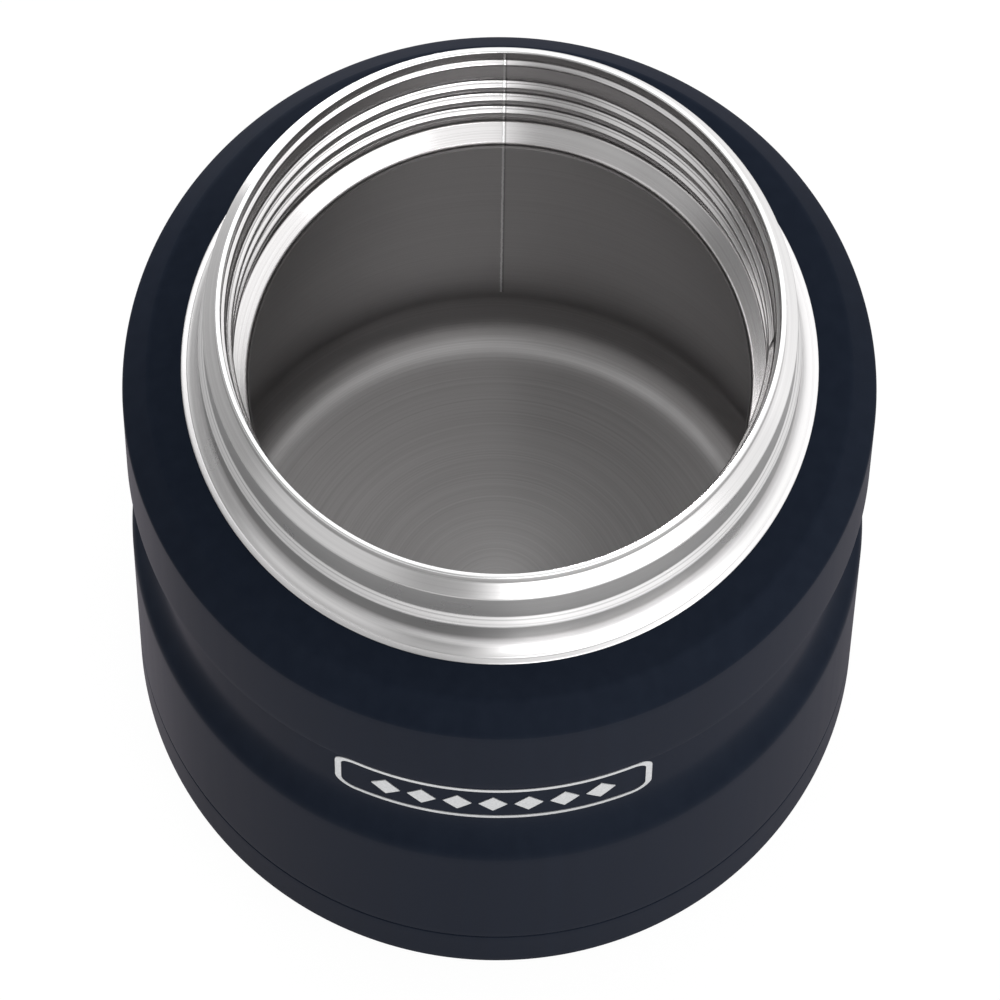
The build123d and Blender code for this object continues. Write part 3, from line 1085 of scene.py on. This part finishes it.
tent = {
    # name: (direction, how far along it the mask starts, and where it is full)
    "overhead": ((0, 0.6, 0.8), 0.5, 0.8),
    "leftStrip": ((-0.735, -0.637, 0.232), 0.860, 0.985),
    "leftFront": ((-0.22, -0.72, 0.66), 0.90, 0.99),
    "nearCamera": ((0, -0.3, 0.954), 0.84, 0.95),
    "rightGap": ((0.978, -0.208, -0.05), 0.95, 0.99),
    "right": ((1, 0, 0), -0.15, 0.05),
}


def directionMask(nodes, links, way, axis, low, high):
    # rises from nothing to one as the direction's part along an axis goes from low to high
    along = nodes.new("ShaderNodeVectorMath")
    along.operation = "DOT_PRODUCT"
    along.inputs[1].default_value = axis
    links.new(way, along.inputs[0])
    return rangeNode(nodes, links, along.outputs["Value"], low, high)


def blended(nodes, links, factor, low, high):
    # low where the factor is nothing, high where it is one
    node = nodes.new("ShaderNodeMix")
    for socket, value in (("Factor", factor), ("A", low), ("B", high)):
        setInput(links, node.inputs[socket], value)
    return node.outputs["Result"]


def makeWorld():
    # a soft white tent: bright on the right and overhead, dim low down on the left, with a strip and a
    # patch in front on the left, a gap on the right and a dimmer opening round the camera
    world = bpy.data.worlds.new("softTent")
    bpy.context.scene.world = world
    world.use_nodes = True
    nodes, links = world.node_tree.nodes, world.node_tree.links
    background = nodes["Background"]
    way = nodes.new("ShaderNodeTexCoord").outputs["Generated"]
    masks = {name: directionMask(nodes, links, way, *limits) for name, limits in tent.items()}
    low = mathNode(nodes, links, "MULTIPLY_ADD", masks["leftStrip"], studio["leftStrip"], studio["left"])
    low = mathNode(nodes, links, "MULTIPLY_ADD", masks["leftFront"], studio["leftFront"], low)
    left = blended(nodes, links, masks["overhead"], low, studio["overhead"])
    right = mathNode(nodes, links, "MULTIPLY_ADD", masks["rightGap"], studio["rightGap"], studio["right"])
    right = blended(nodes, links, masks["nearCamera"], right, studio["nearCamera"])
    links.new(blended(nodes, links, masks["right"], left, right), background.inputs["Strength"])
    background.inputs["Color"].default_value = (1, 1, 1, 1)


lamps = {
    # name: (place, width, height, power in watts)
    "keyPanel": ((1.0, -0.9, 1.1), 1.0, 1.0, 2.0),
    "lowPanel": ((0.70, -1.30, 0.40), 1.4, 0.5, 5.0),
    "frontPanel": ((0.34, -1.45, 0.40), 0.4, 0.5, 1.2),
    "backPanel": ((-0.62, 1.35, 0.14), 0.9, 0.2, 14.0),
    "fillPanel": ((-0.9, 0.9, 1.3), 1.2, 1.0, 2.0),
}
lampAim = (0, 0, 80 * mm)


def makeLamps():
    # unseen panels, each turned towards one point on the axis
    for name, (place, width, height, power) in lamps.items():
        light = bpy.data.lights.new(name, "AREA")
        light.shape = "RECTANGLE"
        light.size = width
        light.size_y = height
        light.energy = power
        lamp = bpy.data.objects.new(name, light)
        lamp.location = place
        lamp.visible_camera = False
        lamp.rotation_euler = (Vector(place) - Vector(lampAim)).to_track_quat("Z", "Y").to_euler()
        bpy.context.scene.collection.objects.link(lamp)


view = {
    "place": (-0.150 * mm, -541.004 * mm, 1470.781 * mm),
    "down": 69.10687,               # degrees below the horizon
    "across": 0.05257,              # degrees
    "roll": 0.94265,                # degrees
    "lens": 369.946,                # millimetres, on a sensor of this width
    "sensor": 36,
    "nearest": 0.05,                # what is closer isn't drawn
}


def makeCamera():
    # looks down and across by these angles, and rolls round its own line of sight
    down, across, roll = (radians(view[k]) for k in ("down", "across", "roll"))
    ahead = Vector((sin(across) * cos(down), cos(across) * cos(down), -sin(down)))
    right = ahead.cross(Vector((0, 0, 1))).normalized()
    up = right.cross(ahead)
    x = right * cos(roll) + up * sin(roll)
    y = up * cos(roll) - right * sin(roll)
    data = bpy.data.cameras.new("studioCamera")
    data.lens = view["lens"]
    data.sensor_width = view["sensor"]
    data.clip_start = view["nearest"]
    camera = bpy.data.objects.new("studioCamera", data)
    camera.matrix_world = Matrix.Translation(view["place"]) @ Matrix((x, y, -ahead)).transposed().to_4x4()
    bpy.context.scene.collection.objects.link(camera)
    bpy.context.scene.camera = camera


makeFloor()
makeWorld()
makeLamps()
makeCamera()
bpy.context.scene.view_settings.view_transform = "Standard"
print("studio ready")
